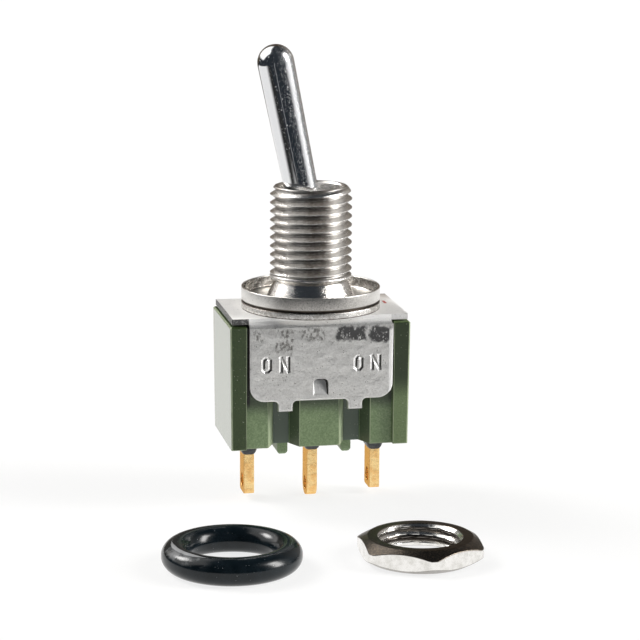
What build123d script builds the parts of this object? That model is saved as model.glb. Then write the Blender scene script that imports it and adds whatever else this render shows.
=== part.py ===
from build123d import *
from math import cos, pi, radians, sin, sqrt, tan
import os

os.makedirs("parts", exist_ok=True)

# A miniature panel toggle switch with its sealing ring and hex nut, in millimetres.
# Origin: on the bushing's axis, at the top face of the steel frame's plate.
# +Z runs out along the bushing, +X is the way the lever travels, the marked flap faces -Y.

# Clearances
face_gap = 0.02  # between round or slotted faces that are assembled tight
run_gap = 0.05  # between faces that move past each other

# Terminals
terminal_pitch = 4.7
lug_thick = 0.76
lug_width = 1.75
lug_end_z = -13.7
centre_lug_extra = 0.45
lug_hole_d = 1.0
lug_hole_up = 0.9  # the hole's centre above the lug's end
lug_corner = 0.2
foot_thick = 0.5
foot_inner_x = 2.8

# Steel frame
frame_thick = 0.4
plate_length = 12.8
plate_width = 7.46
bend_r = 0.75  # outside radius of the two bends
flap_width = 10.34
flap_drop = 6.1  # the flap's lower edge below the plate's top
flap_corner_r = 1.1
tab_width = 1.08
tab_drop = 0.76
tab_pitch = 5.1
tab_root_r = 0.3
clinch_width = 1.0
clinch_height = 1.1
clinch_depth = 0.2
clinch_up = 0.42  # the clinch mark's lower edge above the flap's lower edge

# Moulded case
case_length = 13.16
case_width = 7.9
case_bottom_z = -9.6
case_step = 0.14  # the case's ends stand this much below the plate's underside
case_draft_deg = 0.6
case_bevel = 0.1
post_gap = 0.2  # between the flap's edge and the corner post
pad_gap = 0.05  # between the flap's inner face and the case
channel_mouth = 2.28
channel_floor = 1.08
channel_depth = 1.3
channel_pitch = 5.2
channel_top_z = -5.4
cavity_length = 11.3
cavity_width = 3.4
cavity_corner_r = 0.4
barrier_width = 0.76
barrier_length = 3.1
barrier_drop = 1.06
barrier_r = 0.34

# Turned bushing
thread_d = 5.95
thread_bottom_z = 2.2
bushing_top_z = 8.9
top_chamfer = 0.33
top_chamfer_drop = 0.45
neck_d = 5.4
neck_z = 1.95
cone_foot_d = 6.5
flange_d = 10.1
flange_thick = 0.5
flange_edge = 0.12
spigot_d = 6.2
stake_lip = 0.2
stake_thick = 0.2
mouth_d = 4.6
mouth_chamfer = 0.12
mouth_depth = 1.7
throat_d = 3.2
flare_wall = 0.42  # of the spigot at the bushing's lower end

# Sealing cup on the bushing's flange
cup_rim_z = 1.57
cup_wall = 0.18
cup_floor = 0.25
cup_step = 0.14
cup_step_in = 0.2

# Lever
pivot_z = 5.1
lean_deg = 11.6
lever_reach = 14.3  # from the pivot to the tip
tip_d = 2.64
lever_neck_d = 2.38
ball_d = 3.8
tail_d = 2.6
tail_reach = 6.3  # from the pivot to the tail's end
spring_bore_d = 1.9
spring_bore_start = 1.9  # below the pivot

# Seal inside the bushing, and the ring that holds it
ball_seal_section = 0.6
ball_seal_below = 1.2  # section centre below the pivot
retainer_thick = 0.4
retainer_bore_d = 3.6

# Plunger and its spring
plunger_reach = 10.9  # from the pivot to the plunger's tip
plunger_tip_r = 1.0
plunger_collar_d = 2.5
plunger_collar_thick = 0.6
plunger_collar_gap = 0.9  # between the lever's tail and the collar
spring_length = 3.0
wire_d = 0.26
spring_turns = 6
runs_per_turn = 10

# Rocking contact
rock_deg = 6.5
arm_rise_deg = 9.0
rocker_thick = 0.3
rocker_width = 2.2
rocker_half = 4.1
trough_gap = 0.14  # under the plunger's tip as it passes the middle
fulcrum_drop = 0.78  # from the trough's bottom to the fulcrum's centre
ear_r = 0.25
ear_thick = 0.3
ear_clear = 0.25  # between the ears and the cavity's walls
cradle_thick = 0.2
cradle_half = 0.45
flange_half = 0.95
button_d = 1.3
button_thick = 0.22
button_x = 3.6
fixed_button_d = 1.5
fixed_button_thick = 0.25
contact_gap = 0.02

# Epoxy seals round the terminals
well_depth = 0.6
well_wall = 0.4  # epoxy in the well, round the lug
cone_wall = 0.3  # epoxy round the lug below the case
epoxy_drop = 1.12
epoxy_drop_centre = 0.95
epoxy_skin = 0.1

# Hex nut and sealing ring, which lie on the plane of the longest lug's end
nut_flats = 7.94
nut_thick = 1.6
nut_bore_d = 5.27
nut_chamfer_deg = 30
nut_face_d = 7.2  # of the flat faces inside the chamfers
nut_corner_d = 8.9  # over the corners, which are turned off a little
nut_bore_chamfer = 0.3
nut_x = 4.3
nut_y = -17.0
nut_turn_deg = 29.05
ring_d = 9.5
ring_section = 1.9
ring_x = -8.6
ring_y = -16.95

# Places that follow from the sizes above
plate_under = -frame_thick
case_top_z = plate_under - case_step
flap_y = case_width / 2
pad_y = flap_y - frame_thick - pad_gap
post_inner = flap_width / 2 + post_gap
ball_r = ball_d / 2
seat_r = ball_r + run_gap
plunger_tip_z = pivot_z - plunger_reach
trough_z = plunger_tip_z - trough_gap
fulcrum_z = trough_z - fulcrum_drop
rest_z = lug_end_z - centre_lug_extra
thread_r = thread_d / 2
spigot_r = spigot_d / 2
flange_r = flange_d / 2
stake_z = plate_under - stake_thick
rise = radians(arm_rise_deg)
rock = radians(rock_deg)


def turned(outline):
    """A solid turned about Z from a closed outline of (radius, height) edges."""
    return revolve(make_face(Plane.XZ * outline), Axis.Z)


def across(face, width):
    """A prism of a face drawn in X and Z, centred on Y."""
    return extrude(Plane.XZ * face, amount=width / 2, both=True)


def along(face, length):
    """A prism of a face drawn in Y and Z, centred on X."""
    return extrude(Plane.YZ * face, amount=length / 2, both=True)


def block(x, y, z):
    """A box between pairs of coordinates."""
    middle = (sum(x) / 2, sum(y) / 2, sum(z) / 2)
    return Pos(*middle) * Box(x[1] - x[0], y[1] - y[0], z[1] - z[0])


def outline(*points):
    return Polyline(*points, close=True)


def with_lever(solid):
    """Places what is drawn upright about the pivot where the leaning lever carries it."""
    return Pos(0, 0, pivot_z) * Rot(0, -lean_deg, 0) * solid


def with_rocker(solid):
    """Turns what is drawn with the rocker level to its rest, right side down."""
    return Pos(0, 0, fulcrum_z) * Rot(0, rock_deg, 0) * Pos(0, 0, -fulcrum_z) * solid


def moulded_ring(centre_r, section, sides):
    """A rubber ring whose round section is drawn with flat sides, one of them lowest."""
    turns = [2 * pi * (k + 0.5) / sides - pi / 2 for k in range(sides)]
    corner_r = section / 2 / cos(pi / sides)
    return turned(outline(*[(centre_r + corner_r * cos(a), corner_r * sin(a)) for a in turns]))


def steel_frame():
    """One folded sheet: plate, front and rear flaps, two tabs on each, a clinch mark."""
    low = -flap_drop - tab_drop
    outer = Pos(0, low) * Rectangle(2 * flap_y, -2 * low)
    outer = fillet(outer.vertices().group_by(Axis.Y)[-1], bend_r)
    inner = Pos(0, low - frame_thick) * Rectangle(2 * (flap_y - frame_thick), -2 * low)
    inner = fillet(inner.vertices().group_by(Axis.Y)[-1], bend_r - frame_thick)
    channel = along(outer - inner, flap_width)

    flap = Pos(0, -flap_drop / 2) * Rectangle(flap_width, flap_drop)
    flap = fillet(flap.vertices().group_by(Axis.Y)[0], flap_corner_r)
    tabs = [
        Pos(side * tab_pitch / 2, -flap_drop - tab_drop / 2) * Rectangle(tab_width, tab_drop)
        for side in (-1, 1)
    ]
    front = flap + tabs
    lower = [v for v in front.vertices() if abs(v.Y + flap_drop) < 1e-6]
    roots = [v for v in lower if abs(abs(abs(v.X) - tab_pitch / 2) - tab_width / 2) < 1e-6]
    front = fillet(roots, tab_root_r)
    sheet = channel & across(front, 2 * case_width)

    plate = block(
        (-plate_length / 2, plate_length / 2), (-plate_width / 2, plate_width / 2), (plate_under, 0)
    )
    sheet += plate
    sheet -= Cylinder(spigot_r + face_gap, 4 * frame_thick)

    for side in (-1, 1):
        mark = Box(clinch_width, clinch_depth, clinch_height)
        middle_z = -flap_drop + clinch_up + clinch_height / 2
        sheet -= Pos(0, side * (flap_y - clinch_depth / 2), middle_z) * mark
        boss_y = flap_y - frame_thick - clinch_depth / 2
        sheet += Pos(0, side * boss_y, middle_z) * mark
    return sheet


def case():
    """One moulding: posts, pads, channels, cavity, terminal wells and barriers."""
    height = case_top_z - case_bottom_z
    body = extrude(
        Pos(0, 0, case_top_z) * Rectangle(case_length, case_width),
        amount=-height,
        taper=case_draft_deg,
    )
    body = chamfer(body.edges().filter_by(lambda edge: abs((edge % 0.5).Z) > 0.9), case_bevel)
    body = chamfer(body.edges().group_by(Axis.Z)[-1], case_bevel)
    body += block((-post_inner, post_inner), (-pad_y, pad_y), (case_top_z, plate_under))

    deep = channel_depth
    trapezoid = outline(
        (-channel_mouth / 2, -deep),
        (-channel_floor / 2, 0),
        (channel_floor / 2, 0),
        (channel_mouth / 2, -deep),
    )
    channel = extrude(make_face(trapezoid), amount=channel_top_z - case_bottom_z)
    for turn in (0, 180):
        recess = block((-post_inner, post_inner), (-case_width, -pad_y), (2 * case_bottom_z, 0))
        for side in (-1, 1):
            recess += Pos(side * channel_pitch / 2, deep - pad_y, case_bottom_z) * channel
        clinch_z = -flap_drop + clinch_up + clinch_height / 2
        pocket = Box(clinch_width + 2 * run_gap, 2 * clinch_depth, clinch_height + 2 * run_gap)
        recess += Pos(0, -pad_y, clinch_z) * pocket
        inside_bend = outline(
            (-pad_y, -bend_r), (-pad_y, plate_under), (-pad_y + bend_r - frame_thick, plate_under)
        )
        recess += along(make_face(inside_bend), 2 * post_inner)
        body -= Rot(0, 0, turn) * recess

    cavity = Rectangle(cavity_length, cavity_width)
    cavity = fillet(cavity.vertices(), cavity_corner_r)
    body -= extrude(Pos(0, 0, floor_z) * cavity, amount=-floor_z)
    stake_room = spigot_r + stake_lip + run_gap
    body -= Pos(0, 0, stake_z - run_gap) * extrude(Circle(stake_room), amount=frame_thick)

    for place in (-1, 0, 1):
        x = place * terminal_pitch
        body -= Pos(x, 0, case_bottom_z) * Box(
            lug_thick + 2 * face_gap, lug_width + 2 * face_gap, -4 * case_bottom_z - 4 * abs(floor_z)
        )
        well = Rectangle(lug_thick + 2 * well_wall, lug_width + 2 * well_wall)
        body -= extrude(Pos(x, 0, case_bottom_z) * well, amount=well_depth)
    for side in (-1, 1):
        rib = Box(barrier_width, barrier_length, 2 * barrier_drop)
        rib = fillet(rib.edges().group_by(Axis.Z)[0], barrier_r)
        x = side * terminal_pitch / 2
        root = block(
            (x - barrier_width, x + barrier_width), (-case_width, case_width), (case_bottom_z, 0)
        )
        body += Pos(x, 0, case_bottom_z) * rib - root
    return body


def lug(end_z, top_z, round_end):
    """A solder lug: a blade that is thin in X, with a wire hole near its end."""
    blade = Pos(0, (end_z + top_z) / 2) * Rectangle(lug_width, top_z - end_z)
    ends = blade.vertices().group_by(Axis.Y)[0]
    blade = fillet(ends, lug_width / 2 - 0.01 if round_end else lug_corner)
    blade -= Pos(0, end_z + lug_hole_up) * Circle(lug_hole_d / 2)
    return along(blade, lug_thick)


def end_terminal(side):
    """A lug whose upper end is bent inwards as the foot of the fixed contact."""
    blade = Pos(side * terminal_pitch, 0, 0) * lug(lug_end_z, foot_top_z, False)
    reach = sorted((side * foot_inner_x, side * (terminal_pitch + lug_thick / 2)))
    return blade + block(reach, (-lug_width / 2, lug_width / 2), (floor_z, foot_top_z))


def centre_terminal():
    """A lug whose upper end is a cradle with two round-topped ears."""
    blade = lug(rest_z, floor_z + cradle_thick, True)
    span = cavity_width - 2 * ear_clear
    base = block(
        (-cradle_half, cradle_half), (-span / 2, span / 2), (floor_z, floor_z + cradle_thick)
    )
    ear = Pos(0, fulcrum_z) * Circle(ear_r)
    stem_height = fulcrum_z - floor_z
    ear += Pos(0, floor_z + stem_height / 2) * Rectangle(2 * ear_r, stem_height)
    ears = across(ear, span) - across(Pos(0, fulcrum_z) * Rectangle(4, 4), span - 2 * ear_thick)
    return blade + base + ears


def fixed_contact(side):
    """A riveted button on an end terminal's foot."""
    button = Cylinder(fixed_button_d / 2, fixed_button_thick)
    return Pos(side * touch_x, 0, foot_top_z + fixed_button_thick / 2) * button


def epoxy(place):
    """Potting in a terminal's well, drawn down round the lug as a cone."""
    drop = epoxy_drop_centre if place == 0 else epoxy_drop
    top = Rectangle(lug_thick + 2 * (well_wall - face_gap), lug_width + 2 * (well_wall - face_gap))
    fill = extrude(Pos(0, 0, case_bottom_z) * top, amount=well_depth)
    wide = Rectangle(lug_thick + 2 * cone_wall, lug_width + 2 * cone_wall)
    thin = Rectangle(lug_thick + 2 * epoxy_skin, lug_width + 2 * epoxy_skin)
    wide = fillet(wide.vertices(), cone_wall)
    thin = fillet(thin.vertices(), epoxy_skin)
    cone = loft([Pos(0, 0, case_bottom_z) * wide, Pos(0, 0, case_bottom_z - drop) * thin])
    lug_room = Pos(0, 0, case_bottom_z) * Box(
        lug_thick + 2 * face_gap, lug_width + 2 * face_gap, 4 * (well_depth + drop)
    )
    return Pos(place * terminal_pitch, 0, 0) * (fill + cone - lug_room)


def bushing():
    """Turned from bar: thread, flared neck, flange, and a spigot staked under the plate."""
    throat_r, mouth_r = throat_d / 2, mouth_d / 2
    throat_z = pivot_z + sqrt(seat_r**2 - throat_r**2)
    floor_of_cup = flange_thick + cup_floor
    shoulder_z = pivot_z - ball_seal_below + ball_seal_section / 2 + face_gap
    holder_z = retainer_z - retainer_thick
    flare_r = spigot_r - flare_wall
    edges = Polyline(
        (seat_r, pivot_z),
        (seat_r, shoulder_z),
        (holder_r, shoulder_z),
        (holder_r, holder_z),
        (flare_r, stake_z),
        (spigot_r + stake_lip, stake_z),
        (spigot_r + stake_lip, plate_under),
        (spigot_r, plate_under),
        (spigot_r, 0),
        (flange_r, 0),
        (flange_r, flange_thick - flange_edge),
        (flange_r - flange_edge, flange_thick),
        (cone_foot_d / 2, flange_thick),
        (cone_foot_d / 2, floor_of_cup),
        (neck_d / 2, neck_z),
        (thread_r, thread_bottom_z),
        (thread_r, bushing_top_z - top_chamfer_drop),
        (thread_r - top_chamfer, bushing_top_z),
        (mouth_r + mouth_chamfer, bushing_top_z),
        (mouth_r, bushing_top_z - mouth_chamfer),
        (mouth_r, bushing_top_z - mouth_depth),
        (throat_r, throat_z),
    )
    half_way = radians(45)
    seat = ThreePointArc(
        (throat_r, throat_z),
        (seat_r * cos(half_way / 2), pivot_z + seat_r * sin(half_way / 2)),
        (seat_r, pivot_z),
    )
    return turned(edges + seat)


def seal_cup():
    """A turned dish on the flange, which holds the sealing ring against the panel."""
    foot_r = flange_r - cup_step_in
    step_z = flange_thick + cup_step
    return turned(
        outline(
            (cone_foot_d / 2 + face_gap, flange_thick),
            (foot_r, flange_thick),
            (foot_r, step_z),
            (flange_r, step_z),
            (flange_r, cup_rim_z),
            (flange_r - cup_wall, cup_rim_z),
            (flange_r - cup_wall, flange_thick + cup_floor),
            (cone_foot_d / 2 + face_gap, flange_thick + cup_floor),
        )
    )


def lever():
    """Turned: round-ended bat, ball, and a tail bored for the spring."""
    tip_r, neck_r, tail_r, bore_r = tip_d / 2, lever_neck_d / 2, tail_d / 2, spring_bore_d / 2
    round_z = lever_reach - tip_r
    neck_h = sqrt(ball_r**2 - neck_r**2)
    tail_h = -sqrt(ball_r**2 - tail_r**2)
    arc_half = radians(45)
    tip = ThreePointArc(
        (0, lever_reach), (tip_r * sin(arc_half), round_z + tip_r * cos(arc_half)), (tip_r, round_z)
    )
    ball = ThreePointArc((neck_r, neck_h), (ball_r, 0), (tail_r, tail_h))
    bore = Polyline(
        (tail_r, tail_h),
        (tail_r, -tail_reach),
        (bore_r, -tail_reach),
        (bore_r, -spring_bore_start),
        (0, -spring_bore_start),
        (0, lever_reach),
    )
    return with_lever(turned(tip + Line((tip_r, round_z), (neck_r, neck_h)) + ball + bore))


def ball_seal():
    """A small rubber ring that wipes the lever's ball."""
    return Pos(0, 0, pivot_z - ball_seal_below) * moulded_ring(ball_seal_r, ball_seal_section, 8)


def seal_retainer():
    """A ring pressed into the bushing under the seal."""
    ring = Cylinder(holder_r - face_gap, retainer_thick) - Cylinder(retainer_bore_d / 2, 1)
    return Pos(0, 0, retainer_z - retainer_thick / 2) * ring


def plunger():
    """A moulded foot on the lever's tail, which presses the rocking contact."""
    stem_r = spring_bore_d / 2 - run_gap
    collar_r = plunger_collar_d / 2
    stem_top = -spring_bore_start - spring_length
    collar_top = -tail_reach - plunger_collar_gap
    collar_under = collar_top - plunger_collar_thick
    round_z = plunger_tip_r - plunger_reach
    arc_half = radians(45)
    edges = Polyline(
        (0, -plunger_reach),
        (0, stem_top),
        (stem_r, stem_top),
        (stem_r, collar_top),
        (collar_r, collar_top),
        (collar_r, collar_under),
        (plunger_tip_r, collar_under),
        (plunger_tip_r, round_z),
    )
    tip = ThreePointArc(
        (plunger_tip_r, round_z),
        (plunger_tip_r * cos(arc_half), round_z - plunger_tip_r * sin(arc_half)),
        (0, -plunger_reach),
    )
    return with_lever(turned(edges + tip))


def lever_spring():
    """A coil spring in the lever's tail, over the plunger's stem, drawn in short straight runs."""
    coil_r = spring_bore_d / 2 - run_gap - wire_d / 2
    height = spring_length - wire_d - 2 * face_gap
    runs = spring_turns * runs_per_turn
    turn = 2 * pi / runs_per_turn
    path = Polyline(
        *[(coil_r * cos(k * turn), coil_r * sin(k * turn), k * height / runs) for k in range(runs + 1)]
    )
    section = Plane(origin=path @ 0, z_dir=path % 0) * RegularPolygon(wire_d / 2, 6)
    coil = sweep(section, path=path, transition=Transition.RIGHT)
    low = -spring_bore_start - spring_length + wire_d / 2 + face_gap
    return with_lever(Pos(0, 0, low) * coil)


def rocker():
    """A sprung-metal strip in a shallow V, with two notched flanges on the cradle's ears."""
    lift = tan(rise)
    thick = rocker_thick / cos(rise)

    def trough(half):
        return make_face(
            outline(
                (-half, trough_z + half * lift),
                (0, trough_z),
                (half, trough_z + half * lift),
                (half, trough_z + half * lift - thick),
                (0, trough_z - thick),
                (-half, trough_z + half * lift - thick),
            )
        )

    span = cavity_width - 2 * ear_clear
    strip = across(trough(rocker_half), rocker_width) + across(trough(flange_half), span)
    side = make_face(
        outline(
            (-flange_half, fulcrum_z),
            (-flange_half, trough_z + flange_half * lift - thick),
            (0, trough_z - thick),
            (flange_half, trough_z + flange_half * lift - thick),
            (flange_half, fulcrum_z),
        )
    )
    side -= Pos(0, fulcrum_z) * Circle(ear_r + run_gap)
    inner = Pos(0, fulcrum_z) * Rectangle(4 * flange_half, 4)
    flanges = across(side, span) - across(inner, span - 2 * ear_thick + 2 * face_gap)
    return with_rocker(strip + flanges)


def rocker_contact(side):
    """A button under one arm of the rocker."""
    arm = Pos(0, 0, trough_z) * Rot(0, -side * arm_rise_deg, 0)
    down = rocker_thick + button_thick / 2
    button = Pos(side * button_x / cos(rise), 0, -down) * Cylinder(button_d / 2, button_thick)
    return with_rocker(arm * button)


def sealing_ring():
    """The rubber ring that goes in the cup, shown taken off."""
    big_r = (ring_d - ring_section) / 2
    ring = moulded_ring(big_r, ring_section, 16)
    return Pos(ring_x, ring_y, rest_z + ring_section / 2) * ring


def hex_nut():
    """The panel nut, chamfered on both faces, shown taken off."""
    face_r, corner_r = nut_face_d / 2, nut_corner_d / 2
    hexagon = RegularPolygon(nut_flats / 2 / cos(radians(30)), 6)
    body = extrude(hexagon, amount=nut_thick / 2, both=True)
    drop = (corner_r - face_r) * tan(radians(nut_chamfer_deg))
    dome = turned(
        outline(
            (0, -nut_thick / 2),
            (face_r, -nut_thick / 2),
            (corner_r, drop - nut_thick / 2),
            (corner_r, nut_thick / 2 - drop),
            (face_r, nut_thick / 2),
            (0, nut_thick / 2),
        )
    )
    body &= dome
    bore_r = nut_bore_d / 2
    edge = nut_bore_chamfer
    body -= turned(
        outline(
            (0, -nut_thick / 2),
            (bore_r + edge, -nut_thick / 2),
            (bore_r, edge - nut_thick / 2),
            (bore_r, nut_thick / 2 - edge),
            (bore_r + edge, nut_thick / 2),
            (0, nut_thick / 2),
        )
    )
    return Pos(nut_x, nut_y, rest_z + nut_thick / 2) * Rot(0, 0, nut_turn_deg) * body


# The seal inside the bushing touches the ball from outside and below
ball_seal_reach = seat_r + ball_seal_section / 2
ball_seal_r = sqrt(ball_seal_reach**2 - ball_seal_below**2)
holder_r = ball_seal_r + ball_seal_section / 2 + face_gap
retainer_z = pivot_z - ball_seal_below - ball_seal_section / 2 - face_gap

# Where the closed contact's button comes to, which sets the height of the terminals' feet
button_down = rocker_thick + button_thick
button_out = button_x + button_down * sin(rise)
button_up = fulcrum_drop + button_x * tan(rise) - button_down * cos(rise)
touch_x = button_out * cos(rock) + button_up * sin(rock)
touch_z = fulcrum_z + button_up * cos(rock) - button_out * sin(rock)
touch_z -= button_d / 2 * sin(abs(rise - rock))
foot_top_z = touch_z - contact_gap - fixed_button_thick
floor_z = foot_top_z - foot_thick

pieces = {
    "steel_frame": steel_frame(),
    "case": case(),
    "bushing": bushing(),
    "seal_cup": seal_cup(),
    "lever": lever(),
    "ball_seal": ball_seal(),
    "seal_retainer": seal_retainer(),
    "plunger": plunger(),
    "lever_spring": lever_spring(),
    "rocker": rocker(),
    "terminal_centre": centre_terminal(),
    "sealing_ring": sealing_ring(),
    "hex_nut": hex_nut(),
}
for side, name in ((-1, "left"), (1, "right")):
    pieces[f"terminal_{name}"] = end_terminal(side)
    pieces[f"fixed_contact_{name}"] = fixed_contact(side)
    pieces[f"rocker_contact_{name}"] = rocker_contact(side)
for place, name in ((-1, "left"), (0, "centre"), (1, "right")):
    pieces[f"epoxy_{name}"] = epoxy(place)

for name, piece in pieces.items():
    export_step(piece, f"parts/{name}.step")
print(len(pieces), "pieces; the lug's end plane is at", round(rest_z, 3))
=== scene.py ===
# %% [markdown]
# # A miniature panel toggle switch
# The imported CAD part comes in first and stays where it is. Each cell then dresses one
# piece of it: a thread cut by Geometry Nodes, a stamped flap, gold lugs, black potting.
# Lengths are given in millimetres and turned into metres by MM.

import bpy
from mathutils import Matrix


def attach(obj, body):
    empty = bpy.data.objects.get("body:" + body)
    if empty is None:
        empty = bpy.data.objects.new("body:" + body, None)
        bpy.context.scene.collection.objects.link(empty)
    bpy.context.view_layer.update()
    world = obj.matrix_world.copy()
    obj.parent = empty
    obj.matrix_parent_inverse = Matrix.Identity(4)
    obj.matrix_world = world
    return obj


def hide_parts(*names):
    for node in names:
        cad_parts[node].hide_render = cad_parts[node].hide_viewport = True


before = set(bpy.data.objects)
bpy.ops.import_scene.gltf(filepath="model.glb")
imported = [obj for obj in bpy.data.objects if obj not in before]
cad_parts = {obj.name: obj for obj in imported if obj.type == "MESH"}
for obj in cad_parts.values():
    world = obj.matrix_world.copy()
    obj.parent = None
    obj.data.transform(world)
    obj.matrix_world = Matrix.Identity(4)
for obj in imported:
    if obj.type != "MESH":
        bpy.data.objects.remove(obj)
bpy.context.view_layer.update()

# %% [markdown]
# ## Tools of the trade
# BMesh builds shapes vertex by vertex, and mathutils does the geometry. The frame is in
# metres, but a switch of this size is easier to think of in millimetres, so lengths are
# written in them and multiplied by MM where they meet Blender.

# %% Imports and the unit of length
from math import asin, atan2, cos, degrees, pi, radians, sin, sqrt, tan

import bmesh
import bpy
from mathutils import Matrix, Vector

MM = 0.001
scene = bpy.context.scene
print("one millimetre is", MM, "m")

# %% [markdown]
# ## Sizes
# The source of the CAD part can't be read here, so the sizes that the pieces share are
# named again. They are the same millimetres, about the same origin: the bushing's axis at
# the top of the steel plate, +Z out along the bushing and -Y towards the marked flap.

# %% Sizes shared by the pieces
LEAN = 11.6
PIVOT_Z = 5.1
REST_Z = -14.15
CASE_BOTTOM_Z = -9.6
FLAP_Y = 3.95
THREAD_R = 2.975
THREAD_PITCH = 0.637
THREAD_DEPTH = 0.42
WALL_LOW, WALL_HIGH = 2.3, 8.9
CHAMFER_Z, MOUTH_R = 8.45, 2.645
FIRST_CREST_Z = 8.32 + THREAD_PITCH / 2
TERMINAL_PITCH = 4.7
LUG_THICK, LUG_WIDTH = 0.76, 1.75
NUT_HALF, NUT_BORE_R, NUT_FACE_R = 0.8, 2.635, 3.6
NUT_SLOPE = tan(radians(30))
NUT_PLACE = (4.3, -17.0, REST_Z + NUT_HALF)
NUT_TURN = 29.05
RING_R, RING_HALF = 3.8, 0.95
RING_PLACE = (-8.6, -16.95, REST_Z + RING_HALF)

with_lever = (
    Matrix.Translation((0, 0, PIVOT_Z * MM)) @ Matrix.Rotation(radians(-LEAN), 4, "Y")
)
print("the lever's tip is at", [round(v / MM, 2) for v in with_lever @ Vector((0, 0, 14.3 * MM))])

# %% [markdown]
# ## Nodes as arithmetic
# Shader graphs are easier to read as formulas. `Value` wraps one output socket, and its
# operators add Math nodes. Every other node comes from `Tree.add`, which takes the type,
# the settings, which are set first, and the values or links of its sockets. Masks come
# from `above`, `below` and `band`, which are smooth steps along a coordinate.

# %% A node tree and its values
class Value:
    """One output of a node, which can be used in arithmetic."""

    def __init__(self, tree, socket):
        self.tree, self.socket = tree, socket

    def maths(self, operation, *others):
        return self.tree.add("Math", {"operation": operation}, dict(enumerate((self, *others))))

    def __add__(self, other):
        return self.maths("ADD", other)

    def __sub__(self, other):
        return self.maths("SUBTRACT", other)

    def __mul__(self, other):
        return self.maths("MULTIPLY", other)

    def __truediv__(self, other):
        return self.maths("DIVIDE", other)

    def __rsub__(self, other):
        return self * -1 + other

    __radd__ = __add__
    __rmul__ = __mul__

    def least(self, other):
        return self.maths("MINIMUM", other)

    def most(self, other):
        return self.maths("MAXIMUM", other)

    def size(self):
        return self.maths("ABSOLUTE")

    def above(self, low, high):
        """0 up to low, 1 from high, and a smooth rise between them."""
        settings = {"interpolation_type": "SMOOTHSTEP"}
        values = {"Value": self, "From Min": low, "From Max": high}
        return self.tree.add("MapRange", settings, values)

    def below(self, low, high):
        """1 up to low, 0 from high, and a smooth fall between them."""
        return 1 - self.above(low, high)

    def band(self, low, full, still, high):
        """A rise from low to full, and a fall from still to high."""
        return self.above(low, full) * self.below(still, high)


def length(x, y):
    """How far a point is from the axis."""
    return (x * x + y * y).maths("SQRT")


class Tree:
    """A shader or geometry node tree, and the one method that adds any node to it."""

    def __init__(self, nodes, family="Shader"):
        self.nodes, self.family = nodes, family

    def add(self, kind, settings=None, values=None, out=0):
        own_kind = f"{self.family}Node{kind}"
        node = self.nodes.nodes.new(own_kind if hasattr(bpy.types, own_kind) else f"ShaderNode{kind}")
        for name, value in (settings or {}).items():
            setattr(node, name, value)
        for name, value in (values or {}).items():
            self.feed(node.inputs[name], value)
        return Value(self, node.outputs[out])

    def feed(self, socket, value):
        if isinstance(value, Value):
            self.nodes.links.new(value.socket, socket)
        else:
            socket.default_value = value

    def scaled(self, vector, factor):
        return self.add("VectorMath", {"operation": "SCALE"}, {0: vector, "Scale": factor})

    def split(self, vector):
        """The x, y and z of a vector."""
        return [self.add("SeparateXYZ", values={0: vector}, out=k) for k in range(3)]

    def mix(self, share, first, second):
        """The first colour where share is 0, and the second where it is 1."""
        pair = [c if isinstance(c, Value) else (*c, 1) for c in (first, second)]
        return self.add("Mix", {"data_type": "RGBA"}, {0: share, 6: pair[0], 7: pair[1]}, out=2)


print("socket arithmetic is ready")

# %% [markdown]
# ## Finishes, in general
# Each finish is a Principled shader. What is the same all over is set on its own sockets,
# and what changes over the surface comes from noise on Object coordinates, scaled to
# millimetres so that a grain of 20 per millimetre is written as 20. An image texture would
# need UV maps on every piece, and noise needs none.

# %% Helpers for the finishes
class Finish(Tree):
    """A material, its Principled shader, and the coordinates in millimetres."""

    def __init__(self, name, colour, **sockets):
        self.material = bpy.data.materials.new(name)
        self.material.use_nodes = True
        self.material.diffuse_color = (*colour, 1)
        super().__init__(self.material.node_tree)
        self.shader = self.nodes.nodes["Principled BSDF"]
        self.shader.inputs["Base Color"].default_value = (*colour, 1)
        for socket, value in sockets.items():
            self.shader.inputs[socket.replace("_", " ")].default_value = value
        self.place = self.scaled(self.add("TexCoord", out="Object"), 1 / MM)
        self.x, self.y, self.z = self.split(self.place)

    def noise(self, scale, detail=2.0, rough=0.5, place=None):
        values = {"Vector": place or self.place, "Scale": scale, "Detail": detail, "Roughness": rough}
        return self.add("TexNoise", values=values)

    def stretched(self, x, y, z):
        """The coordinates stretched or squeezed along the three axes."""
        return self.add("VectorMath", {"operation": "MULTIPLY"}, {0: self.place, 1: (x, y, z)})

    def speckles(self, scale, amount):
        """1 in small round specks, which cover more as amount grows."""
        cells = self.add("TexVoronoi", values={"Vector": self.place, "Scale": scale})
        return cells.below(amount * 0.6, amount)

    def bump(self, height, depth, under=None):
        """Raises the surface by height times depth, in millimetres."""
        values = {"Height": height, "Distance": depth * MM, "Strength": 1.0}
        if under is not None:
            values["Normal"] = under
        return self.add("Bump", values=values)

    def use(self, **values):
        for socket, value in values.items():
            self.feed(self.shader.inputs[socket.replace("_", " ")], value)
        print(self.material.name, len(self.nodes.nodes), "nodes")
        return self.material


print("finishes can be mixed")

# %% [markdown]
# ## Camera
# The photograph was taken from a little to the left and above, with a long lens. The place
# was found by matching forty corners of the CAD part with their pixels. It could be set by
# eye, but then the edges would not fall where the photograph has them.

# %% Camera at the photograph's angle
AZIMUTH, ELEVATION, ROLL = radians(-11.39), radians(11.87), radians(0.33)
back = Vector((sin(AZIMUTH) * cos(ELEVATION), -cos(AZIMUTH) * cos(ELEVATION), sin(ELEVATION)))
right = (-back).cross(Vector((0, 0, 1))).normalized()
up = right.cross(-back)
right, up = cos(ROLL) * right + sin(ROLL) * up, cos(ROLL) * up - sin(ROLL) * right

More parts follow.
